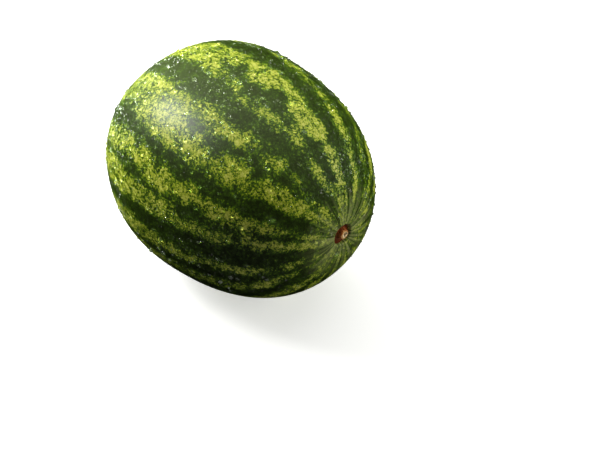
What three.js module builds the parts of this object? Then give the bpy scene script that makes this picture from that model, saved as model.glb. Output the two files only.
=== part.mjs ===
// A whole watermelon lying on its side. Millimetres, +Z up, +X towards the stem end.
// The origin is under the middle of the fruit, on the surface that it rests on.
//
// The fruit grew as one piece, so it is one closed solid: a full oval turned about its long axis,
// a little narrower at the stem end, with a slightly squared and uneven girth, a corky scar where the
// stem came away, a small button where the flower was, and a small flat spot underneath.

import * as THREE from "three";
import { mergeVertices } from "three/addons/utils/BufferGeometryUtils.js";

// Driving dimensions of the whole fruit.
const HALF_LENGTH = 130; // stem end to middle
const HALF_WIDTH = 112; // mean radius at the middle
const FULLNESS = 2.35; // exponent of the long section: 2 is an ellipse, more fills the shoulders
const STEM_TAPER = 0.099; // share of the radius lost at the stem end and gained at the flower end
const REST_DEPTH = 3.5; // how much of the round underside the flat spot takes away

// Swellings of the girth: how many round it, how high as a share of the radius, and where a crest is,
// in degrees from +Y over the top.
const SWELLINGS = [
  { count: 2, height: 0.012, crest: 104 },
  { count: 3, height: 0.009, crest: 17 },
  { count: 4, height: 0.013, crest: 52 },
];

// Both ends sink into a broad shallow dip, which fades out at about its radius.
const DIP_RADIUS = 34;
const DIP_DEPTH = 2.5;

// The scar at the stem end: a corky recess with the dried stub of the stem in it. Each point is a
// radius and a height above the floor of the recess, from the rim to the axis.
const SCAR_DEPTH = 3.2;
const SCAR_PROFILE = [
  [12.8, SCAR_DEPTH], // rim, level with the rind
  [11, 0.8], // foot of the wall
  [8.8, 0], // floor
  [7, 0], // foot of the stub
  [5.6, 3.7],
  [4.5, 4.6], // crown of the stub
  [2.2, 4.1], // lip of the pit in it
  [1.3, 2.2], // floor of the pit
  [0, 2.2],
];

// The button at the flower end: radius and height above the rind, from the axis to its edge.
const BUTTON_PROFILE = [
  [0, 0.9],
  [2.8, 0.6],
  [4, 0],
];

// The rings of the rind keep this much clear of the edge of the scar and of the button.
const EDGE_CLEARANCE = 1.5;

// Faceting.
const SEGMENTS = 64;
const RINGS = 36;
const RING_GATHER = 0.12; // how much closer together the rings are at the ends, in radians

const RIND = new THREE.MeshStandardMaterial({
  name: "waxy_rind",
  color: "#5d7a2c",
  roughness: 0.4,
  metalness: 0,
});

// A point of the long section, as radius and distance along the axis, for an angle measured from the
// flower end.
function sectionPoint(angle) {
  const across = Math.sin(angle);
  const along = -Math.cos(angle);
  const reach = (across ** FULLNESS + Math.abs(along) ** FULLNESS) ** (-1 / FULLNESS);
  const radius = HALF_WIDTH * across * reach * (1 - STEM_TAPER * along);
  const dip = DIP_DEPTH * Math.exp(-2 * (radius / DIP_RADIUS) ** 2);
  return new THREE.Vector2(radius, HALF_LENGTH * along * reach - Math.sign(along) * dip);
}

// Angles of the section's rings, closer together towards both ends.
function ringAngles() {
  const angles = [];
  for (let i = 1; i < RINGS; i += 1) {
    const share = i / RINGS;
    angles.push(Math.PI * share - RING_GATHER * Math.sin(2 * Math.PI * share));
  }
  return angles;
}

// The profile to turn, from the flower button on the axis to the stub's pit on the axis.
function fruitProfile() {
  const flowerEnd = sectionPoint(0).y;
  const scarFloor = sectionPoint(Math.PI).y - SCAR_DEPTH;
  const scarEdge = SCAR_PROFILE[0][0] + EDGE_CLEARANCE;
  const buttonEdge = BUTTON_PROFILE.at(-1)[0] + EDGE_CLEARANCE;
  const button = BUTTON_PROFILE.map(([radius, height]) => new THREE.Vector2(radius, flowerEnd - height));
  const rind = ringAngles()
    .map(sectionPoint)
    .filter((point) => point.x > (point.y > 0 ? scarEdge : buttonEdge));
  const scar = SCAR_PROFILE.map(([radius, height]) => new THREE.Vector2(radius, scarFloor + height));
  return [...button, ...rind, ...scar];
}

// How far the girth swells at an angle from +Y over the top.
function swelling(angle) {
  return SWELLINGS.reduce((sum, { count, height, crest }) => {
    return sum + height * Math.cos(count * (angle - THREE.MathUtils.degToRad(crest)));
  }, 1);
}

// Turns the profile, lays its axis along +X, swells the girth and flattens the underside.
function fruitGeometry() {
  const turned = new THREE.LatheGeometry(fruitProfile(), SEGMENTS);
  turned.rotateZ(-Math.PI / 2);
  turned.deleteAttribute("normal");
  turned.deleteAttribute("uv");
  const geometry = mergeVertices(turned, 1e-3);
  const points = geometry.getAttribute("position");
  for (let i = 0; i < points.count; i += 1) {
    const y = points.getY(i);
    const z = points.getZ(i);
    const grown = swelling(Math.atan2(z, y));
    points.setY(i, y * grown);
    points.setZ(i, z * grown);
  }
  geometry.computeBoundingBox();
  const restHeight = geometry.boundingBox.min.z + REST_DEPTH;
  for (let i = 0; i < points.count; i += 1) {
    points.setZ(i, Math.max(points.getZ(i), restHeight));
  }
  geometry.computeBoundingBox();
  geometry.computeVertexNormals();
  return geometry;
}

const geometry = fruitGeometry();
const middle = geometry.boundingBox.getCenter(new THREE.Vector3());

const watermelon = new THREE.Mesh(geometry, RIND);
watermelon.name = "watermelon";
watermelon.position.set(-middle.x, -middle.y, -geometry.boundingBox.min.z);

const fruit = new THREE.Group();
fruit.add(watermelon);

export default fruit;
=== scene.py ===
"""A whole watermelon with beads of water on its rind, lying on its side. Metres, +Z up, +X towards the
stem end. The fruit's shape is the CAD model's own rule, drawn finer."""

import math
import random

import bpy
import numpy as np
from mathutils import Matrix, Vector


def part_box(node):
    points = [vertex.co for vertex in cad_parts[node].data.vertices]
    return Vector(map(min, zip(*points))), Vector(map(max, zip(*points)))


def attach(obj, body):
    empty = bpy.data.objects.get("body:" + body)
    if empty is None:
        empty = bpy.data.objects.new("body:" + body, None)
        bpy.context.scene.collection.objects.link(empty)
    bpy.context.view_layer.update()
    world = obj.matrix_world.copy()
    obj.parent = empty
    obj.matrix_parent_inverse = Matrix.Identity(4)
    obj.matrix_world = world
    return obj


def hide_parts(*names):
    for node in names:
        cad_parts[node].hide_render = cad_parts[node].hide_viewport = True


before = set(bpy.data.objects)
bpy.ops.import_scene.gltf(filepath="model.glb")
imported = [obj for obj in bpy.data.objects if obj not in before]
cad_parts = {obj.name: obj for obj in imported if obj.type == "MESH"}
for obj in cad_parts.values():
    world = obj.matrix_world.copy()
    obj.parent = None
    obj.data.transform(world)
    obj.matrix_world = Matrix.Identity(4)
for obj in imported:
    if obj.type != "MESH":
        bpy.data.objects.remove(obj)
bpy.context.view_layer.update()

MM = 0.001

# ---------------------------------------------------------------- sizes of the fruit, in millimetres

HALF_LENGTH = 130.0
HALF_WIDTH = 112.0
FULLNESS = 2.35  # exponent of the long section: 2 is an ellipse, more fills the shoulders
STEM_TAPER = 0.099  # share of the radius lost at the stem end and gained at the flower end
REST_DEPTH = 3.5  # how much of the round underside the flat spot takes away
REST_EDGE = 1.5  # how softly the flat spot's edge is rounded
SWELLINGS = ((2, 0.012, 104), (3, 0.009, 17), (4, 0.013, 52))  # count, share of radius, crest in degrees
DIP_RADIUS = 34.0  # both ends sink into a broad dip, which fades out at about this radius
DIP_DEPTH = 2.5
MIDDLE_SHIFT = 0.25  # from the fruit's middle to the box's, because the stub stands out past the rind

# The stem scar is a piece of its own, let into a recess in the rind.
SCAR_RADIUS = 10.4
RECESS_DEPTH = 4.2
RECESS_EDGE = 1.1  # half the width of the recess's sloping edge

SEGMENTS = 360
RINGS = 240
RING_GATHER = 0.3  # how much closer together the rings are at the ends, in radians

# Steps in which the girth is searched for its outermost points.
FINE_STEPS = 2000
TURN_STEPS = 3600


def widest_section():
    """The girth where the fruit is widest, as (y, z) round the axis, in millimetres."""
    colatitude = np.linspace(0, math.pi, FINE_STEPS + 1)[1:-1]
    across, along = np.sin(colatitude), np.cos(colatitude)
    reach = (across**FULLNESS + abs(along) ** FULLNESS) ** (-1 / FULLNESS)
    radius = (HALF_WIDTH * across * reach * (1 - STEM_TAPER * along)).max()
    turn = np.linspace(0, 2 * math.pi, TURN_STEPS + 1)
    for count, height, crest in SWELLINGS:
        radius = radius + (height * np.cos(count * (turn - math.radians(crest)))) * HALF_WIDTH
    return radius * np.cos(turn), radius * np.sin(turn)


girth_y, girth_z = widest_section()
low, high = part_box("watermelon")
AXIS_Y = -(girth_y.min() + girth_y.max()) / 2 * MM
AXIS_Z = (-girth_z.min() - REST_DEPTH) * MM
AXIS_X = (low.x + high.x) / 2 - MIDDLE_SHIFT * MM
AXIS = Vector((AXIS_X, AXIS_Y, AXIS_Z))

# ---------------------------------------------------------------- sizes of the patterns, in millimetres

MOTTLE = 9.0  # soft patches that roughen a band's edge
CELL = 4.2  # pale cells between green veins
VEIN_WAVE = 3.3  # how far apart the bends of a vein are
VEIN_BEND = 5.0  # the range over which the bends push it
FLECK = 2.4
FLECK_RELIEF = 0.4
GRIT = 1.1
STREAK_REACH = (12.0, 70.0)  # from the axis: streaks are strong inside the first and faint past the second
DUST_REACH = (12.0, 50.0)  # from the axis: the ends are dusty inside the first and clean past the second
CORK_GRAIN = 1.4
CORK_RELIEF = 0.8
DAMP_PATCH = 45.0  # patches with more beads of water or fewer

STREAKS = 11.0  # streaks for each radian round the axis
STREAK_STRETCH = 6.0  # how fast a streak changes along its length: here, about every 15 mm
DARK_LEVEL = 0.21  # the rind's level in the middle of a dark band
LIGHT_LEVEL = 0.71  # and in the middle of a light one

# ---------------------------------------------------------------- helpers


def linear(code):
    """An sRGB hex colour as linear red, green, blue and an alpha of 1."""
    parts = [int(code[i : i + 2], 16) / 255 for i in (1, 3, 5)]
    return [p / 12.92 if p <= 0.04045 else ((p + 0.055) / 1.055) ** 2.4 for p in parts] + [1.0]


def per(size):
    """The scale of a pattern whose features are this many millimetres apart."""
    return 1 / (size * MM)


def add(tree, kind, inputs=(), **settings):
    """Adds a node with its settings, and fills its inputs by name or number. A node given as an input
    stands for its first output, and None leaves an input alone."""
    made = tree.nodes.new(kind)
    for name, value in settings.items():
        setattr(made, name, value)
    pairs = inputs.items() if isinstance(inputs, dict) else enumerate(inputs)
    for key, value in pairs:
        if isinstance(value, bpy.types.Node):
            value = value.outputs[0]
        if isinstance(value, bpy.types.NodeSocket):
            tree.links.new(value, made.inputs[key])
        elif value is not None:
            made.inputs[key].default_value = value
    return made


def new_tree(name, sizes):
    """A geometry tree with a geometry in and out and one named number for each size."""
    tree = bpy.data.node_groups.new(name, "GeometryNodeTree")
    tree.interface.new_socket("Geometry", in_out="INPUT", socket_type="NodeSocketGeometry")
    tree.interface.new_socket("Geometry", in_out="OUTPUT", socket_type="NodeSocketGeometry")
    for size in sizes:
        kind = "NodeSocketInt" if size == "Seed" else "NodeSocketFloat"
        tree.interface.new_socket(size, in_out="INPUT", socket_type=kind)
    return tree


def grow(name, tree, sizes, base=None):
    """Runs a geometry tree with these sizes on a mesh and returns the result as a plain object."""
    seed = bpy.data.objects.new(name + "_seed", base or bpy.data.meshes.new(name + "_seed"))
    bpy.context.scene.collection.objects.link(seed)
    modifier = seed.modifiers.new("grow", "NODES")
    modifier.node_group = tree
    for item in tree.interface.items_tree:
        if item.in_out == "INPUT" and item.name in sizes:
            modifier[item.identifier] = sizes[item.name]
    bpy.context.view_layer.update()
    graph = bpy.context.evaluated_depsgraph_get()
    mesh = bpy.data.meshes.new_from_object(
        seed.evaluated_get(graph), preserve_all_data_layers=True, depsgraph=graph
    )
    mesh.name = name
    while mesh.materials[0] is None:
        mesh.materials.pop(index=0)
    bpy.data.objects.remove(seed)
    made = bpy.data.objects.new(name, mesh)
    bpy.context.scene.collection.objects.link(made)
    return made


def drop(piece, *names):
    """Removes these attributes, which have done their work."""
    for name in names:
        spent = piece.data.attributes.get(name)
        if spent:
            piece.data.attributes.remove(spent)


# ---------------------------------------------------------------- materials


def set_stops(ramp, stops):
    """Gives a colour ramp these positions and hex colours."""
    elements = ramp.color_ramp.elements
    elements[0].position, elements[1].position = stops[0][0], stops[-1][0]
    elements[0].color, elements[1].color = linear(stops[0][1]), linear(stops[-1][1])
    for position, colour in stops[1:-1]:
        elements.new(position).color = linear(colour)


def rind_material():
    """Waxy watermelon rind. It grew as pale cells in a net of green veins: in the light bands the veins
    are thin and the cells run together, at a band's edge the cells thin out to single flecks, and in a
    dark band they barely show. The wax gives a soft broad shine."""
    material = bpy.data.materials.new("waxy watermelon rind")
    material.use_nodes = True
    tree = material.node_tree
    tree.nodes.clear()
    place = add(tree, "ShaderNodeTexCoord").outputs["Object"]
    centred = add(tree, "ShaderNodeMapping", {"Vector": place, "Location": -AXIS})
    light = add(tree, "ShaderNodeAttribute", attribute_name="light").outputs["Fac"]
    # Streaks run from end to end and meet at the poles: noise over the direction round the axis.
    parts = add(tree, "ShaderNodeSeparateXYZ", [centred])
    flat = add(tree, "ShaderNodeCombineXYZ", [0.0, parts.outputs["Y"], parts.outputs["Z"]])
    radius = add(tree, "ShaderNodeVectorMath", [flat], operation="LENGTH").outputs["Value"]
    spoke = add(tree, "ShaderNodeVectorMath", [flat], operation="NORMALIZE")
    stretched = add(tree, "ShaderNodeMath", [parts.outputs["X"], STREAK_STRETCH], operation="MULTIPLY")
    fibre = add(tree, "ShaderNodeCombineXYZ", [stretched])
    fibre = add(tree, "ShaderNodeVectorMath", [spoke, fibre])
    streak = add(
        tree, "ShaderNodeTexNoise", {"Vector": fibre, "Scale": STREAKS, "Detail": 3.0, "Roughness": 0.6}
    )
    near = add(
        tree,
        "ShaderNodeMapRange",
        {
            "Value": radius,
            "From Min": STREAK_REACH[0] * MM,
            "From Max": STREAK_REACH[1] * MM,
            "To Min": 1.3,
            "To Max": 0.25,
        },
    )
    # Cells with wavy veins between them.
    wave = add(tree, "ShaderNodeTexNoise", {"Vector": centred, "Scale": per(VEIN_WAVE), "Detail": 2.0})
    bend = add(tree, "ShaderNodeVectorMath", [wave.outputs["Color"], (0.5, 0.5, 0.5)], operation="SUBTRACT")
    bend = add(tree, "ShaderNodeVectorMath", {0: bend, "Scale": VEIN_BEND * MM}, operation="SCALE")
    bent = add(tree, "ShaderNodeVectorMath", [centred, bend])
    net = add(
        tree, "ShaderNodeTexVoronoi", {"Vector": bent, "Scale": per(CELL)}, feature="DISTANCE_TO_EDGE"
    )
    cell = add(tree, "ShaderNodeMath", [net, 0.3], operation="ADD")
    mottle = add(
        tree, "ShaderNodeTexNoise", {"Vector": centred, "Scale": per(MOTTLE), "Detail": 4.0, "Roughness": 0.7}
    )
    fleck = add(
        tree, "ShaderNodeTexNoise", {"Vector": centred, "Scale": per(FLECK), "Detail": 2.0, "Roughness": 0.6}
    )
    grit = add(tree, "ShaderNodeTexNoise", {"Vector": centred, "Scale": per(GRIT), "Detail": 1.0})
    # Together they lift and lower the band's own level, and less so in a dark band.
    change = None
    for noise, strength in ((mottle, 1.9), (cell, 1.1), (fleck, 1.2), (grit, 1.3), (streak, near)):
        level = add(tree, "ShaderNodeMath", [noise, 0.5], operation="SUBTRACT")
        change = add(tree, "ShaderNodeMath", [level, strength, change or 0.0], operation="MULTIPLY_ADD")
    gain = add(
        tree,
        "ShaderNodeMapRange",
        {"Value": light, "From Min": DARK_LEVEL, "From Max": LIGHT_LEVEL, "To Min": 0.5, "To Max": 0.92},
    )
    total = add(tree, "ShaderNodeMath", [change, gain, light], operation="MULTIPLY_ADD")
    colour = add(tree, "ShaderNodeValToRGB", [total])
    set_stops(
        colour,
        (
            (0.00, "#232f09"),
            (0.28, "#344b0e"),
            (0.42, "#48690e"),
            (0.51, "#67890c"),
            (0.59, "#94a81c"),
            (0.70, "#b7c038"),
            (1.00, "#d0d460"),
        ),
    )
    # The rind is paler and duller where the bands run together at the ends.
    dusty = add(
        tree,
        "ShaderNodeMapRange",
        {
            "Value": radius,
            "From Min": DUST_REACH[0] * MM,
            "From Max": DUST_REACH[1] * MM,
            "To Min": 0.8,
            "To Max": 0.0,
        },
    )
    pale = add(tree, "ShaderNodeMapRange", {"Value": streak, "From Min": 0.4, "From Max": 0.65})
    dusty = add(tree, "ShaderNodeMath", [dusty, pale], operation="MULTIPLY")
    mixed = add(
        tree, "ShaderNodeMix", {"Factor": dusty, "A": colour, "B": linear("#b0b470")}, data_type="RGBA"
    )
    # A thin pale grey-green wash over all the colours is painted sheen: it lightens the upper side that faces
    # the lamps.
    painted_sheen_share = add(tree, "ShaderNodeAttribute", attribute_name="painted_sheen").outputs["Fac"]
    with_painted_sheen = add(
        tree,
        "ShaderNodeMix",
        {"Factor": painted_sheen_share, "A": mixed.outputs["Result"], "B": linear("#9cac70")},
        data_type="RGBA",
    )
    bump = add(tree, "ShaderNodeBump", {"Height": fleck, "Strength": 0.15, "Distance": FLECK_RELIEF * MM})
    shader = add(
        tree,
        "ShaderNodeBsdfPrincipled",
        {"Base Color": with_painted_sheen.outputs["Result"], "Roughness": 0.36, "IOR": 1.5, "Normal": bump},
    )
    add(tree, "ShaderNodeOutputMaterial", [shader])
    return material


def water_material():
    """Clean water: colourless, smooth, and bright where it catches a lamp."""
    material = bpy.data.materials.new("clear water")
    material.use_nodes = True
    shader = material.node_tree.nodes["Principled BSDF"]
    shader.inputs["Base Color"].default_value = linear("#ffffff")
    shader.inputs["Roughness"].default_value = 0.02
    shader.inputs["IOR"].default_value = 1.333
    shader.inputs["Transmission Weight"].default_value = 1.0
    return material


def cork_with_painted_shade_and_highlight():
    """Dry cork and dead stem tissue: dull red-brown in the hollow, darkening towards its wall as painted
    shade, with a pale tan crown on the stub whose cream-white ring is a painted highlight, and a near-black
    pit in it that is painted shade."""
    material = bpy.data.materials.new("dry stem cork with painted shade and highlight")
    material.use_nodes = True
    tree = material.node_tree
    tree.nodes.clear()
    place = add(tree, "ShaderNodeTexCoord").outputs["Object"]
    centred = add(tree, "ShaderNodeMapping", {"Vector": place, "Location": -AXIS})
    share = add(tree, "ShaderNodeAttribute", attribute_name="share").outputs["Fac"]
    grain = add(tree, "ShaderNodeTexNoise", {"Vector": centred, "Scale": per(CORK_GRAIN), "Detail": 4.0})
    # The grain makes the rings of colour uneven.
    level = add(tree, "ShaderNodeMath", [grain, 0.5], operation="SUBTRACT")
    wobble = add(tree, "ShaderNodeMath", [level, 0.45, share], operation="MULTIPLY_ADD")
    colour = add(tree, "ShaderNodeValToRGB", [wobble])
    # Painted light in these colours: the near-black pit is painted shade, the cream-white ring on the tan
    # crown is a painted highlight, and the hollow's red-brown darkens towards its wall as painted shade.
    set_stops(
        colour,
        (
            (0.07, "#2c1403"),
            (0.14, "#8a5a2c"),
            (0.20, "#f4e2b8"),
            (0.34, "#e0b46c"),
            (0.42, "#b4601e"),
            (0.56, "#86400f"),
            (0.90, "#5c2008"),
            (1.00, "#5c4c14"),
        ),
    )
    bump = add(tree, "ShaderNodeBump", {"Height": grain, "Strength": 0.6, "Distance": CORK_RELIEF * MM})
    shader = add(tree, "ShaderNodeBsdfPrincipled", {"Base Color": colour, "Roughness": 0.75, "Normal": bump})
    add(tree, "ShaderNodeOutputMaterial", [shader])
    return material


# ---------------------------------------------------------------- the light bands

# Each band runs from the stem end to the flower end. Its points are listed: degrees along the
# fruit from the stem, degrees round it from +Y over the top, half of its width in degrees, and how
# light it is there, from 0 to 1.
BANDS = (
    ((8, 44, 4, 0.4), (22, 41, 4, 0.5), (28, 41, 3, 0.6), (33, 45, 3, 0.3), (40, 46, 5, 0.45),
     (50, 45, 4.5, 0.45), (60, 43, 4, 0.4), (75, 41, 4, 0.5), (95, 40, 5, 0.6), (115, 42, 6, 0.7),
     (140, 45, 6, 0.6), (172, 45, 5, 0.5)),
    ((14, 62, 4, 0.35), (22, 62, 4.2, 1), (30, 62, 4.2, 0.95), (38, 62.5, 3, 0.65),
     (44, 62, 3.5, 0.8), (50, 61.5, 4.8, 1), (56, 61, 4, 0.85), (63, 60.5, 3, 0.9),
     (70, 61, 3, 0.75), (78, 60, 2.6, 0.6), (86, 57, 5, 0.6), (96, 57.5, 3.5, 0.65),
     (104, 58, 2.5, 0.4), (115, 60, 5, 0.7), (135, 62, 6, 0.7), (172, 62, 5, 0.5)),
    ((12, 80, 4, 0.3), (22, 80.5, 3.5, 0.9), (30, 81.5, 4.5, 0.95), (38, 82, 5.5, 1),
     (44, 81.5, 5.5, 1), (47.5, 82, 2.8, 0.8), (51, 82, 6.5, 1), (57, 83, 7, 1),
     (62, 83, 6.5, 1), (67, 81, 6, 0.95), (70, 77.5, 4, 0.95), (74, 77.5, 3.5, 0.9),
     (78, 80.5, 7, 1), (84, 80.5, 8.5, 1), (90, 80.5, 7.5, 0.95), (93.5, 79, 4.5, 0.75),
     (98, 82, 6, 0.95), (104, 82.5, 6.5, 0.7), (112, 83.5, 8, 0.8), (122, 84, 9, 0.8),
     (140, 84, 8, 0.7), (172, 82, 5, 0.5)),
    ((12, 95, 6, 0.5), (18, 91, 6, 0.75), (24, 91, 5, 0.8), (29, 93, 8, 0.6),
     (32, 98.5, 4, 0.65), (37, 99.5, 4.8, 0.8), (43, 99, 4, 0.8), (46.5, 98, 2, 0.25),
     (50, 99, 3, 0.75), (54, 97, 4.5, 0.9), (58, 93.5, 5, 0.75), (61, 99, 4, 0.5),
     (67, 99, 4.3, 0.75), (74, 99.5, 3.3, 0.8), (79, 101.5, 3, 0.7), (82, 102, 3, 0.6),
     (86, 96.5, 3.5, 0.7), (92, 96.5, 3.5, 0.65), (97, 94.5, 4.5, 0.7), (104, 91.5, 6, 0.8),
     (112, 92, 6, 0.85), (122, 91, 6, 0.8), (140, 95, 5, 0.7), (172, 95, 4, 0.5)),
    ((8, 118, 10, 0.6), (14, 120, 9, 0.7), (20, 119, 7, 0.9), (26, 119, 5.5, 0.9),
     (30, 119, 4, 0.6), (35, 121, 2, 0.3), (38.5, 117, 3, 0.6), (43, 115, 2, 0.6),
     (46.5, 115, 1.5, 0.3), (50, 115.5, 3.5, 0.8), (55, 118.5, 4, 1), (58.5, 117, 2, 0.35),
     (63, 115.5, 3.5, 0.65), (68, 117.5, 5, 0.9), (73, 118, 3.8, 1), (80, 118.5, 4.5, 1),
     (85, 117, 6, 0.8), (91, 116.5, 4.5, 0.7), (96, 119, 5, 0.85), (103, 118, 4.5, 0.75),
     (110, 118, 6, 0.9), (118, 117.5, 6.5, 0.9), (128, 117, 5, 0.8), (145, 116, 5, 0.7),
     (172, 116, 4, 0.5)),
    ((8, 133, 5, 0.5), (20, 130, 5.5, 0.9), (27, 131, 5, 0.85), (33, 131, 7, 0.85),
     (38, 131.5, 7, 0.85), (44, 131.5, 7, 1), (50, 130.5, 7, 1), (55, 135.5, 5, 0.7),
     (60, 132, 7.5, 0.95), (65, 132.5, 7.5, 1), (70, 134.5, 6, 0.8), (73.5, 136, 4, 0.5),
     (77, 134, 6.5, 0.85), (83, 133, 6, 0.95), (89, 133, 5.5, 0.8), (94, 128.5, 10, 1),
     (99, 128.5, 9.5, 1), (106, 128, 8.5, 0.8), (112, 127, 8, 0.9), (119, 127, 5, 0.6),
     (128, 126, 6, 0.7), (145, 130, 6, 0.7), (172, 132, 4, 0.5)),
    ((8, 148, 8, 0.5), (14, 148, 8, 0.6), (22, 156.5, 5, 0.85), (27, 156, 5, 0.75),
     (31.5, 152, 2, 0.3), (36, 155, 3.5, 0.7), (42, 155, 4.5, 0.85), (49, 156, 5, 0.9),
     (57, 155.5, 4.5, 0.95), (63, 155.5, 5.5, 0.95), (69, 154, 3.3, 0.85), (76, 152.5, 5.5, 0.9),
     (82, 154, 4, 0.7), (89, 152.5, 6, 1), (97, 152, 6, 0.85), (104, 149, 6, 0.8),
     (112, 147, 5, 0.8), (120, 149, 6, 0.85), (132, 150, 6, 0.8), (150, 150, 5, 0.7),
     (172, 150, 4, 0.5)),
    ((8, 172, 6, 0.4), (16, 168, 7, 0.6), (22, 166.5, 7, 0.85), (27, 167, 6, 0.85),
     (32, 166, 5.5, 0.9), (37, 167.5, 5.5, 0.9), (44, 168.5, 5, 0.85), (50, 165, 6, 0.8),
     (54.5, 166, 4, 0.4), (60, 170, 4, 0.85), (66, 168.5, 4, 0.8), (72, 168.5, 3.2, 0.95),
     (77.5, 170.5, 2.8, 0.6), (83, 167, 6, 0.9), (90, 168, 5, 0.9), (97, 166, 6, 0.8),
     (105, 166.5, 6, 0.85), (113, 166, 8, 0.85), (122, 165, 8, 0.85), (135, 167, 7, 0.8),
     (150, 168, 5, 0.7), (172, 168, 4, 0.5)),
    ((8, 192, 4, 0.5), (16, 192, 5, 0.6), (26, 191, 5, 0.6), (32, 191, 4.5, 0.8),
     (36.5, 192, 4, 0.45), (41, 191, 3, 0.3), (47, 192, 4, 0.8), (55, 192, 4.5, 0.95),
     (61, 189.5, 3.3, 0.8), (67, 190, 3, 0.55), (74, 192, 4, 0.6), (82, 192, 5.2, 0.65),
     (90, 191, 5.5, 0.75), (98, 191, 6, 0.7), (106, 190, 8, 0.8), (116, 190, 7, 0.8),
     (130, 190, 6, 0.7), (172, 190, 4, 0.5)),
    ((8, 208, 5, 0.4), (18, 206, 4, 0.4), (30, 204, 4, 0.5), (36, 205, 4, 0.6),
     (41, 207, 5, 1), (47, 208.5, 5, 1), (52, 209.5, 3.5, 0.7), (58, 210, 5, 0.6),
     (64, 209.5, 5, 0.65), (72, 208, 4.5, 0.55), (82, 208.5, 4.5, 0.55), (92, 207.5, 4, 0.6),
     (104, 207, 5, 0.7), (120, 207, 6, 0.7), (145, 208, 5, 0.6), (172, 208, 4, 0.5)),
    ((8, 228, 6, 0.5), (20, 228, 7, 0.7), (25, 228, 7, 0.9), (31, 228, 7, 0.75),
     (38, 228, 7, 0.8), (46, 230, 6, 0.8), (56, 232, 5, 0.7), (70, 230, 5, 0.7),
     (85, 229, 6, 0.8), (100, 228, 6, 0.75), (120, 229, 7, 0.8), (145, 229, 5, 0.7),
     (172, 229, 4, 0.5)),
)

# The other side of the fruit has bands of the same kind, in degrees round it.
FAR_BANDS = (246, 264, 283, 301, 320, 339, 357, 374, 390)
FAR_STATIONS = range(8, 174, 6)  # degrees along the fruit
FAR_SHIFT = 2  # degrees by which a band wanders to either side
FAR_HALF = (3, 7)  # least and most of half of a band's width
FAR_LEVEL = (0.6, 1.0)  # least and most of its lightness
BREAK_CHANCE = 0.15
BREAK = (2, 0.4)  # half of the width and lightness where a band is broken
FAR_SEED = 4

BAND_EDGE = 3.4  # half of the width over which a band's edge fades, in degrees
BAND_DRIFT = 9.0  # the range over which the bands' edges wander, in degrees
DRIFT_SCALE = 40.0  # bends of the wander in each radius of the fruit, so they are about 3 mm apart
POLE_FADE = (6, 24)  # degrees from either end between which the bands fade in
POLE_LEVEL = 0.42  # how light the rind is at the ends
PAINTED_SHEEN_PLACE = (92, 106)  # degrees along and round the fruit where the painted sheen, a pale wash on the side that faces the key lamp, is strongest
PAINTED_SHEEN_SPREAD = (44, 30)  # degrees along and round it over which the painted sheen fades out
PAINTED_SHEEN_STRENGTH = 0.13  # how much of the rind's colour the painted sheen hides there


def far_band(centre, chance):
    """A band that wanders, swells and breaks up like the listed ones."""
    points = []
    for along in FAR_STATIONS:
        half = chance.uniform(*FAR_HALF)
        level = chance.uniform(*FAR_LEVEL)
        if chance.random() < BREAK_CHANCE:
            half, level = BREAK
        points.append((along, centre + chance.uniform(-FAR_SHIFT, FAR_SHIFT), half, level))
    return points


def lightness(along, around):
    """How light the rind is at these places, from 0 in a dark band to 1 in a light one."""
    chance = random.Random(FAR_SEED)
    total = np.zeros_like(along)
    for band in BANDS + tuple(far_band(centre, chance) for centre in FAR_BANDS):
        stations, centres, halves, levels = zip(*band)
        off = around - np.interp(along, stations, centres)
        off = np.abs((off + 180) % 360 - 180)
        half = np.interp(along, stations, halves)
        share = np.clip((half + BAND_EDGE - off) / (2 * BAND_EDGE), 0, 1)
        share = share * share * (3 - 2 * share) * np.interp(along, stations, levels)
        total = np.maximum(total, share)
    from_end = np.minimum(along, 180 - along)
    fade = np.clip((from_end - POLE_FADE[0]) / (POLE_FADE[1] - POLE_FADE[0]), 0, 1)
    return POLE_LEVEL + (total - POLE_LEVEL) * fade


def painted_sheen(along, around):
    """How much of the colour the painted sheen hides at these places: a pale wash, strongest on the upper
    side that faces the key lamp.
    """
    turn = (around - PAINTED_SHEEN_PLACE[1] + 180) % 360 - 180
    reach = ((along - PAINTED_SHEEN_PLACE[0]) / PAINTED_SHEEN_SPREAD[0]) ** 2 + (turn / PAINTED_SHEEN_SPREAD[1]) ** 2
    return PAINTED_SHEEN_STRENGTH * np.exp(-reach)


# ---------------------------------------------------------------- the rind's shape


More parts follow.
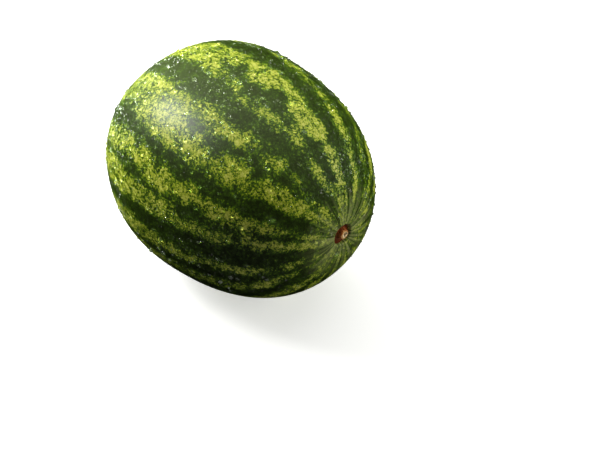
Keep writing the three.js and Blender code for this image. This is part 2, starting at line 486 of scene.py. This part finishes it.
def rind_tree(material):
    """A ball of rings and segments, pushed out to the fruit's shape. It keeps each point's place along
    and round the fruit, in degrees, for the bands."""
    tree = new_tree(
        "oval rind",
        ["Half length", "Half width", "Fullness", "Stem taper", "Dip radius", "Dip depth",
         "Axis X", "Axis Y", "Axis Z", "Rest edge", "Band drift", "Scar inner", "Scar outer", "Scar depth"],
    )
    given = add(tree, "NodeGroupInput").outputs
    ball = add(tree, "GeometryNodeMeshUVSphere", {"Segments": SEGMENTS, "Rings": RINGS, "Radius": 1.0})
    mapped = add(
        tree,
        "GeometryNodeStoreNamedAttribute",
        {"Geometry": ball, "Name": "OFBake", "Value": ball.outputs["UV Map"]},
        data_type="FLOAT2",
        domain="CORNER",
    )
    place = add(tree, "ShaderNodeSeparateXYZ", [add(tree, "GeometryNodeInputPosition")])
    even = add(tree, "ShaderNodeMath", [place.outputs["Z"]], operation="ARCCOSINE")
    twice = add(tree, "ShaderNodeMath", [even, 2.0], operation="MULTIPLY")
    gather = add(tree, "ShaderNodeMath", [twice], operation="SINE")
    polar = add(tree, "ShaderNodeMath", [gather, -RING_GATHER, even], operation="MULTIPLY_ADD")
    turn = add(tree, "ShaderNodeMath", [place.outputs["Y"], place.outputs["X"]], operation="ARCTAN2")
    across = add(tree, "ShaderNodeMath", [polar], operation="SINE")
    along = add(tree, "ShaderNodeMath", [polar], operation="COSINE")
    size = add(tree, "ShaderNodeMath", [along], operation="ABSOLUTE")
    across_power = add(tree, "ShaderNodeMath", [across, given["Fullness"]], operation="POWER")
    along_power = add(tree, "ShaderNodeMath", [size, given["Fullness"]], operation="POWER")
    total = add(tree, "ShaderNodeMath", [across_power, along_power])
    root = add(tree, "ShaderNodeMath", [-1.0, given["Fullness"]], operation="DIVIDE")
    reach = add(tree, "ShaderNodeMath", [total, root], operation="POWER")
    taper = add(tree, "ShaderNodeMath", [along, given["Stem taper"]], operation="MULTIPLY")
    taper = add(tree, "ShaderNodeMath", [1.0, taper], operation="SUBTRACT")
    radius = add(tree, "ShaderNodeMath", [given["Half width"], across], operation="MULTIPLY")
    radius = add(tree, "ShaderNodeMath", [radius, reach], operation="MULTIPLY")
    radius = add(tree, "ShaderNodeMath", [radius, taper], operation="MULTIPLY")
    swell = 1.0
    for count, height, crest in SWELLINGS:
        phase = add(tree, "ShaderNodeMath", [turn, math.radians(crest)], operation="SUBTRACT")
        phase = add(tree, "ShaderNodeMath", [phase, float(count)], operation="MULTIPLY")
        wave = add(tree, "ShaderNodeMath", [phase], operation="COSINE")
        swell = add(tree, "ShaderNodeMath", [wave, height, swell], operation="MULTIPLY_ADD")
    girth = add(tree, "ShaderNodeMath", [radius, swell], operation="MULTIPLY")
    share = add(tree, "ShaderNodeMath", [radius, given["Dip radius"]], operation="DIVIDE")
    share = add(tree, "ShaderNodeMath", [share, 2.0], operation="POWER")
    share = add(tree, "ShaderNodeMath", [share, -2.0], operation="MULTIPLY")
    dip = add(tree, "ShaderNodeMath", [share], operation="EXPONENT")
    dip = add(tree, "ShaderNodeMath", [dip, given["Dip depth"]], operation="MULTIPLY")
    side = add(tree, "ShaderNodeMath", [along], operation="SIGN")
    dip = add(tree, "ShaderNodeMath", [dip, side], operation="MULTIPLY")
    x = add(tree, "ShaderNodeMath", [given["Half length"], along], operation="MULTIPLY")
    x = add(tree, "ShaderNodeMath", [x, reach], operation="MULTIPLY")
    x = add(tree, "ShaderNodeMath", [x, dip], operation="SUBTRACT")
    hollow = add(
        tree,
        "ShaderNodeMapRange",
        {
            "Value": radius,
            "From Min": given["Scar inner"],
            "From Max": given["Scar outer"],
            "To Min": given["Scar depth"],
            "To Max": 0.0,
        },
        interpolation_type="SMOOTHSTEP",
    )
    front = add(tree, "ShaderNodeMath", [along, 0.0], operation="GREATER_THAN")
    hollow = add(tree, "ShaderNodeMath", [hollow, front], operation="MULTIPLY")
    x = add(tree, "ShaderNodeMath", [x, hollow], operation="SUBTRACT")
    cosine = add(tree, "ShaderNodeMath", [turn], operation="COSINE")
    sine = add(tree, "ShaderNodeMath", [turn], operation="SINE")
    y = add(tree, "ShaderNodeMath", [cosine, girth], operation="MULTIPLY")
    z = add(tree, "ShaderNodeMath", [sine, girth], operation="MULTIPLY")
    x = add(tree, "ShaderNodeMath", [x, given["Axis X"]])
    y = add(tree, "ShaderNodeMath", [y, given["Axis Y"]])
    z = add(tree, "ShaderNodeMath", [z, given["Axis Z"]])
    z = add(tree, "ShaderNodeMath", [z, 0.0, given["Rest edge"]], operation="SMOOTH_MAX")
    kept = mapped
    # Each point's place in degrees is a little off, by noise on the round ball, so the bands wander.
    spot = add(tree, "GeometryNodeInputPosition")
    drift = add(
        tree, "ShaderNodeTexNoise", {"Vector": spot, "Scale": DRIFT_SCALE, "Detail": 4.0, "Roughness": 0.75}
    )
    drifts = add(tree, "ShaderNodeSeparateXYZ", [drift.outputs["Color"]])
    for name, angle, side in (("along", polar, "X"), ("round", turn, "Y")):
        degrees = add(tree, "ShaderNodeMath", [angle], operation="DEGREES")
        shift = add(tree, "ShaderNodeMath", [drifts.outputs[side], 0.5], operation="SUBTRACT")
        degrees = add(
            tree, "ShaderNodeMath", [shift, given["Band drift"], degrees], operation="MULTIPLY_ADD"
        )
        kept = add(
            tree,
            "GeometryNodeStoreNamedAttribute",
            {"Geometry": kept, "Name": name, "Value": degrees},
            data_type="FLOAT",
            domain="POINT",
        )
    there = add(tree, "ShaderNodeCombineXYZ", [x, y, z])
    moved = add(tree, "GeometryNodeSetPosition", {"Geometry": kept, "Position": there})
    smooth = add(tree, "GeometryNodeSetShadeSmooth", {"Geometry": moved})
    real = add(tree, "GeometryNodeRealizeInstances", [smooth])
    painted = add(tree, "GeometryNodeSetMaterial", {"Geometry": real, "Material": material})
    add(tree, "NodeGroupOutput", [painted])
    return tree


rind = grow(
    "rind",
    rind_tree(rind_material()),
    {
        "Half length": HALF_LENGTH * MM,
        "Half width": HALF_WIDTH * MM,
        "Fullness": FULLNESS,
        "Stem taper": STEM_TAPER,
        "Dip radius": DIP_RADIUS * MM,
        "Dip depth": DIP_DEPTH * MM,
        "Axis X": AXIS.x,
        "Axis Y": AXIS.y,
        "Axis Z": AXIS.z,
        "Rest edge": REST_EDGE * MM,
        "Band drift": BAND_DRIFT,
        "Scar inner": (SCAR_RADIUS - RECESS_EDGE) * MM,
        "Scar outer": (SCAR_RADIUS + RECESS_EDGE) * MM,
        "Scar depth": RECESS_DEPTH * MM,
    },
)
# The bands and the painted sheen are worked out for each point, and kept on the mesh for the material.
count = len(rind.data.vertices)
along, around = np.zeros(count, np.float32), np.zeros(count, np.float32)
rind.data.attributes["along"].data.foreach_get("value", along)
rind.data.attributes["round"].data.foreach_get("value", around)
light = rind.data.attributes.new("light", "FLOAT", "POINT")
light.data.foreach_set("value", DARK_LEVEL + (LIGHT_LEVEL - DARK_LEVEL) * lightness(along, around))
# painted sheen: a pale wash where the lamps' shine falls on the upper side
painted_sheen_layer = rind.data.attributes.new("painted_sheen", "FLOAT", "POINT")
painted_sheen_layer.data.foreach_set("value", painted_sheen(along, around))
drop(rind, "along", "round")

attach(rind, "root")
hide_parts("watermelon")

# ---------------------------------------------------------------- the scars at both ends

# Height of the stem scar above its own floor, as shares of its radius and of its tallest part.
STEM_PROFILE = (
    (0.0, 0.45), (0.12, 0.48), (0.2, 0.9), (0.32, 1.0), (0.44, 0.9), (0.52, 0.55), (0.62, 0.06), (0.8, 0.0),
    (1.0, 0.06),
)
FLOWER_PROFILE = ((0.0, 0.5), (0.25, 0.55), (0.4, 1.0), (0.6, 0.8), (0.8, 0.5), (1.0, 0.0))
SCAR_SEGMENTS = 96
SCAR_RINGS = 80
SCAR_WARP = 0.25  # how far the rough edges of its rings stray, as a share of its radius


def scar_tree(name, profile, material):
    """A ball whose front is spread flat and raised to the profile, and whose back is a plain plug inside
    the fruit."""
    tree = new_tree(
        name, ["Radius", "Height", "Floor", "Plug", "Side", "Stub shift", "Roughness", "Axis Y", "Axis Z"]
    )
    given = add(tree, "NodeGroupInput").outputs
    ball = add(
        tree, "GeometryNodeMeshUVSphere", {"Segments": SCAR_SEGMENTS, "Rings": SCAR_RINGS, "Radius": 1.0}
    )
    mapped = add(
        tree,
        "GeometryNodeStoreNamedAttribute",
        {"Geometry": ball, "Name": "OFBake", "Value": ball.outputs["UV Map"]},
        data_type="FLOAT2",
        domain="CORNER",
    )
    place = add(tree, "ShaderNodeSeparateXYZ", [add(tree, "GeometryNodeInputPosition")])
    polar = add(tree, "ShaderNodeMath", [place.outputs["Z"]], operation="ARCCOSINE")
    share = add(tree, "ShaderNodeMath", [polar, math.pi / 2], operation="DIVIDE")
    mirrored = add(tree, "ShaderNodeMath", [2.0, share], operation="SUBTRACT")
    share = add(tree, "ShaderNodeMath", [share, mirrored], operation="MINIMUM")
    # The front is the half above the ball's equator, with the equator itself.
    front = add(tree, "ShaderNodeMath", [place.outputs["Z"], -0.001], operation="GREATER_THAN")
    turn = add(tree, "ShaderNodeMath", [place.outputs["Y"], place.outputs["X"]], operation="ARCTAN2")
    cosine = add(tree, "ShaderNodeMath", [turn], operation="COSINE")
    sine = add(tree, "ShaderNodeMath", [turn], operation="SINE")
    y = add(tree, "ShaderNodeMath", [cosine, share], operation="MULTIPLY")
    z = add(tree, "ShaderNodeMath", [sine, share], operation="MULTIPLY")
    flat = add(tree, "ShaderNodeCombineXYZ", [0.0, y, z])
    rough = add(tree, "ShaderNodeTexNoise", {"Vector": flat, "Scale": 3.0, "Detail": 4.0, "Roughness": 0.6})
    off = add(tree, "ShaderNodeMath", [rough, 0.5], operation="SUBTRACT")
    warped = add(tree, "ShaderNodeMath", [off, SCAR_WARP, share], operation="MULTIPLY_ADD")
    curve = add(tree, "ShaderNodeFloatCurve", {"Value": warped})
    line = curve.mapping.curves[0]
    line.points[0].location, line.points[1].location = profile[0], profile[-1]
    for point in profile[1:-1]:
        line.points.new(*point)
    curve.mapping.update()
    kept = add(
        tree,
        "GeometryNodeStoreNamedAttribute",
        {"Geometry": mapped, "Name": "share", "Value": warped},
        data_type="FLOAT",
        domain="POINT",
    )
    raised = add(tree, "ShaderNodeMath", [curve, given["Height"]], operation="MULTIPLY")
    raised = add(tree, "ShaderNodeMath", [off, given["Roughness"], raised], operation="MULTIPLY_ADD")
    raised = add(tree, "ShaderNodeMath", [raised, given["Floor"]])
    down = add(tree, "ShaderNodeMath", [given["Floor"], given["Plug"]], operation="SUBTRACT")
    height = add(tree, "ShaderNodeMix", {"Factor": front, "A": down, "B": raised}, data_type="FLOAT")
    x = add(tree, "ShaderNodeMath", [height, given["Side"]], operation="MULTIPLY")
    slide = add(tree, "ShaderNodeMath", [1.0, share], operation="SUBTRACT")
    slide = add(tree, "ShaderNodeMath", [slide, given["Stub shift"]], operation="MULTIPLY")
    y = add(tree, "ShaderNodeMath", [y, given["Radius"], slide], operation="MULTIPLY_ADD")
    z = add(tree, "ShaderNodeMath", [z, given["Radius"]], operation="MULTIPLY")
    y = add(tree, "ShaderNodeMath", [y, given["Axis Y"]])
    z = add(tree, "ShaderNodeMath", [z, given["Axis Z"]])
    there = add(tree, "ShaderNodeCombineXYZ", [x, y, z])
    moved = add(tree, "GeometryNodeSetPosition", {"Geometry": kept, "Position": there})
    smooth = add(tree, "GeometryNodeSetShadeSmooth", {"Geometry": moved})
    real = add(tree, "GeometryNodeRealizeInstances", [smooth])
    painted = add(tree, "GeometryNodeSetMaterial", {"Geometry": real, "Material": material})
    add(tree, "NodeGroupOutput", [painted])
    return tree


cork = cork_with_painted_shade_and_highlight()
POLE_REACH = HALF_LENGTH - DIP_DEPTH  # millimetres from the middle of the fruit to either end
stem_scar = grow(
    "stem_scar",
    scar_tree("stem scar", STEM_PROFILE, cork),
    {
        "Radius": SCAR_RADIUS * MM,
        "Height": 4.4 * MM,
        "Floor": AXIS.x + (POLE_REACH - 3.1) * MM,
        "Plug": 3.0 * MM,
        "Side": 1.0,
        "Stub shift": 2.8 * MM,
        "Roughness": 1.2 * MM,
        "Axis Y": AXIS.y,
        "Axis Z": AXIS.z,
    },
)
flower_scar = grow(
    "flower_scar",
    scar_tree("flower scar", FLOWER_PROFILE, cork),
    {
        "Radius": 4.6 * MM,
        "Height": 1.1 * MM,
        "Floor": -AXIS.x + (POLE_REACH - 0.3) * MM,
        "Plug": 2.0 * MM,
        "Side": -1.0,
        "Stub shift": 0.0,
        "Roughness": 0.4 * MM,
        "Axis Y": AXIS.y,
        "Axis Z": AXIS.z,
    },
)
for scar in (stem_scar, flower_scar):
    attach(scar, "root")

# ---------------------------------------------------------------- water on the rind


def beads_tree(name, material, rings):
    """Beads of water strewn over the rind, denser on top, none underneath or on the scar."""
    tree = new_tree(
        name,
        ["Density", "Spacing", "Least", "Most", "Flatness", "Seed", "Keep clear", "Axis Y", "Axis Z"],
    )
    given = add(tree, "NodeGroupInput").outputs
    place = add(tree, "ShaderNodeSeparateXYZ", [add(tree, "GeometryNodeInputPosition")])
    facing = add(tree, "ShaderNodeSeparateXYZ", [add(tree, "GeometryNodeInputNormal")])
    side_y = add(tree, "ShaderNodeMath", [place.outputs["Y"], given["Axis Y"]], operation="SUBTRACT")
    side_z = add(tree, "ShaderNodeMath", [place.outputs["Z"], given["Axis Z"]], operation="SUBTRACT")
    side = add(tree, "ShaderNodeCombineXYZ", [0.0, side_y, side_z])
    radius = add(tree, "ShaderNodeVectorMath", [side], operation="LENGTH").outputs["Value"]
    clear = add(tree, "ShaderNodeMath", [radius, given["Keep clear"]], operation="GREATER_THAN")
    above = add(tree, "ShaderNodeMath", [place.outputs["Z"], given["Keep clear"]], operation="GREATER_THAN")
    patchy = add(tree, "ShaderNodeTexNoise", {"Scale": per(DAMP_PATCH), "Detail": 1.0})
    # All where the rind faces up, fewer down the sides and none where it faces the ground.
    share = add(
        tree, "ShaderNodeMapRange", {"Value": facing.outputs["Z"], "From Min": -0.6, "From Max": 0.5}
    )
    factor = add(tree, "ShaderNodeMath", [share, clear], operation="MULTIPLY")
    factor = add(tree, "ShaderNodeMath", [factor, above], operation="MULTIPLY")
    thin = add(
        tree,
        "ShaderNodeMapRange",
        {"Value": patchy, "From Min": 0.35, "From Max": 0.6, "To Min": 0.35},
    )
    factor = add(tree, "ShaderNodeMath", [factor, thin], operation="MULTIPLY")
    strewn = add(
        tree,
        "GeometryNodeDistributePointsOnFaces",
        {
            "Mesh": given["Geometry"],
            "Distance Min": given["Spacing"],
            "Density Max": given["Density"],
            "Density Factor": factor,
            "Seed": given["Seed"],
        },
        distribute_method="POISSON",
    )
    bead = add(tree, "GeometryNodeMeshUVSphere", {"Segments": rings * 2, "Rings": rings, "Radius": 0.5})
    chance = add(tree, "FunctionNodeRandomValue", {"Seed": given["Seed"]}, data_type="FLOAT")
    # Squared, so that small beads are commoner than large ones.
    big = add(tree, "ShaderNodeMath", [chance.outputs[1], 2.0], operation="POWER")
    size = add(
        tree, "ShaderNodeMapRange", {"Value": big, "To Min": given["Least"], "To Max": given["Most"]}
    )
    # No bead is quite round.
    stretch = add(
        tree,
        "FunctionNodeRandomValue",
        {"Min": (0.85, 0.85, 0.9), "Max": (1.25, 1.25, 1.1), "Seed": given["Seed"]},
        data_type="FLOAT_VECTOR",
    )
    flat = add(tree, "ShaderNodeCombineXYZ", [1.0, 1.0, given["Flatness"]])
    scale = add(tree, "ShaderNodeVectorMath", [stretch.outputs[0], flat], operation="MULTIPLY")
    scale = add(tree, "ShaderNodeVectorMath", {0: scale, "Scale": size}, operation="SCALE")
    placed = add(
        tree,
        "GeometryNodeInstanceOnPoints",
        {
            "Points": strewn.outputs["Points"],
            "Instance": bead,
            "Rotation": strewn.outputs["Rotation"],
            "Scale": scale,
        },
    )
    real = add(tree, "GeometryNodeRealizeInstances", [placed])
    smooth = add(tree, "GeometryNodeSetShadeSmooth", {"Geometry": real})
    painted = add(tree, "GeometryNodeSetMaterial", {"Geometry": smooth, "Material": material})
    add(tree, "NodeGroupOutput", [painted])
    return tree


water = water_material()
wet = bpy.data.collections.new("wet")  # what the small glint lamp reaches
KEEP_CLEAR = 15.0  # millimetres from the axis and from the ground within which there are no beads
# Name, rings, beads per square metre, spacing, least and most width in millimetres, height as a share of
# the width, and seed.
WATER = (
    ("large_beads", 8, 2500.0, 9.0, 2.8, 4.8, 0.85, 3),
    ("small_beads", 6, 14000.0, 4.2, 1.5, 2.9, 0.9, 5),
    ("fine_dew", 3, 90000.0, 2.2, 0.8, 1.6, 0.9, 8),
)
for name, rings, density, spacing, least, most, flatness, seed in WATER:
    beads = grow(
        name,
        beads_tree(name.replace("_", " "), water, rings),
        {
            "Density": density,
            "Spacing": spacing * MM,
            "Least": least * MM,
            "Most": most * MM,
            "Flatness": flatness,
            "Seed": seed,
            "Keep clear": KEEP_CLEAR * MM,
            "Axis Y": AXIS.y,
            "Axis Z": AXIS.z,
        },
        rind.data,
    )
    beads.visible_shadow = False  # clear water barely shades the rind under it
    wet.objects.link(beads)
    drop(beads, "light", "painted_sheen", "OFBake", "id")
    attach(beads, "root")

# ---------------------------------------------------------------- floor, lights and camera

SHEET_WHITE = "#f2f2f0"


def lit_sheet(name, base, strength):
    """A matt sheet of this colour that also glows white, as if lit from its far side."""
    material = bpy.data.materials.new(name)
    material.use_nodes = True
    shader = material.node_tree.nodes["Principled BSDF"]
    shader.inputs["Base Color"].default_value = linear(base)
    shader.inputs["Roughness"].default_value = 0.9
    shader.inputs["Emission Color"].default_value = linear(SHEET_WHITE)
    shader.inputs["Emission Strength"].default_value = strength
    return material


EDGE = 6.0  # metres from the fruit to the edge of the floor, where the screen stands
SIDES = 96  # of the screen
SCREEN_TOP = 8.0  # metres

floor_mesh = bpy.data.meshes.new("floor")
corners = [(-EDGE, -EDGE, 0), (EDGE, -EDGE, 0), (EDGE, EDGE, 0), (-EDGE, EDGE, 0)]
floor_mesh.from_pydata(corners, [], [(0, 1, 2, 3)])
floor = bpy.data.objects.new("floor", floor_mesh)
bpy.context.scene.collection.objects.link(floor)
floor_mesh.materials.append(lit_sheet("white sheet lit from below", SHEET_WHITE, 0.6))
# The fruit's shadow falls on it, but it neither lights the fruit nor shows in it.
for hidden in ("visible_diffuse", "visible_glossy", "visible_transmission"):
    setattr(floor, hidden, False)

# A pale screen all round, which only the camera sees.
screen_mesh = bpy.data.meshes.new("screen")
turns = [math.tau * i / SIDES for i in range(SIDES)]
ring = [(math.cos(turn) * EDGE, math.sin(turn) * EDGE) for turn in turns]
screen_mesh.from_pydata(
    [(x, y, 0) for x, y in ring] + [(x, y, SCREEN_TOP) for x, y in ring],
    [],
    [(i, SIDES + i, SIDES + (i + 1) % SIDES, (i + 1) % SIDES) for i in range(SIDES)],
)
screen = bpy.data.objects.new("screen", screen_mesh)
bpy.context.scene.collection.objects.link(screen)
screen_mesh.materials.append(lit_sheet("white screen lit from behind", "#000000", 0.75))
for hidden in ("visible_diffuse", "visible_glossy", "visible_transmission", "visible_shadow"):
    setattr(screen, hidden, False)

FLOOR_BOUNCE = 0.4
ROOM_LIGHT = 0.03
world = bpy.data.worlds.new("dim studio")
world.use_nodes = True
sky = world.node_tree
view = add(sky, "ShaderNodeSeparateXYZ", [add(sky, "ShaderNodeTexCoord").outputs["Generated"]])
# The floor lights nothing itself, so the room is brighter below than above.
bounce = add(
    sky,
    "ShaderNodeMapRange",
    {
        "Value": view.outputs["Z"],
        "From Min": -0.4,
        "From Max": 0.1,
        "To Min": FLOOR_BOUNCE,
        "To Max": ROOM_LIGHT,
    },
)
sky.links.new(bounce.outputs[0], sky.nodes["Background"].inputs["Strength"])
sky.nodes["Background"].inputs["Color"].default_value = linear("#ffffff")
world.cycles_visibility.glossy = False
bpy.context.scene.world = world


def direction(azimuth, elevation):
    """The way to a place seen from the fruit. Azimuth 0 is towards -Y, and 90 is towards +X."""
    a, e = math.radians(azimuth), math.radians(elevation)
    return Vector((math.sin(a) * math.cos(e), -math.cos(a) * math.cos(e), math.sin(e)))


def softbox(name, azimuth, elevation, distance, width, height, power, shine=False):
    """A soft box that faces the fruit from this direction. Only one that shines shows in the wax."""
    lamp = bpy.data.lights.new(name, "AREA")
    lamp.shape = "RECTANGLE"
    lamp.size, lamp.size_y = width, height
    lamp.energy = power
    box = bpy.data.objects.new(name, lamp)
    way = direction(azimuth, elevation)
    box.location = AXIS + way * distance
    box.rotation_mode = "QUATERNION"
    box.rotation_quaternion = way.to_track_quat("Z", "Y")
    box.visible_camera = False
    box.visible_glossy = shine
    bpy.context.scene.collection.objects.link(box)
    return box


# Name, azimuth and elevation in degrees, distance, width and height in metres, and power in watts.
softbox("left_high", -59, 46, 1.3, 0.5, 0.5, 11, shine=True)
softbox("left_low", -88, 6, 1.3, 1.1, 0.8, 44)
softbox("overhead", -160, 60, 1.5, 2.2, 2.2, 20)
softbox("behind", 138, 14, 1.5, 1.3, 0.9, 15)
# A small lamp that reaches only the beads, so that each has a bright point.
glint = softbox("glint", -50, 50, 1.3, 0.14, 0.14, 35, shine=True)
glint.visible_diffuse = False
glint.light_linking.receiver_collection = wet

VIEW_AZIMUTH = 47.4
VIEW_ELEVATION = 38.7
VIEW_DISTANCE = 1.341
AIM_RIGHT = 0.0511
AIM_UP = -0.0512
LENS = 85  # millimetres

camera = bpy.data.objects.new("camera", bpy.data.cameras.new("camera"))
camera.data.lens = LENS
back = direction(VIEW_AZIMUTH, VIEW_ELEVATION)
right = direction(VIEW_AZIMUTH + 90, 0)
up = back.cross(right)
camera.location = AXIS + back * VIEW_DISTANCE
aim = AXIS + right * AIM_RIGHT + up * AIM_UP
camera.rotation_mode = "QUATERNION"
camera.rotation_quaternion = (camera.location - aim).to_track_quat("Z", "Y")
bpy.context.scene.collection.objects.link(camera)
bpy.context.scene.camera = camera
bpy.context.scene.view_settings.view_transform = "Standard"
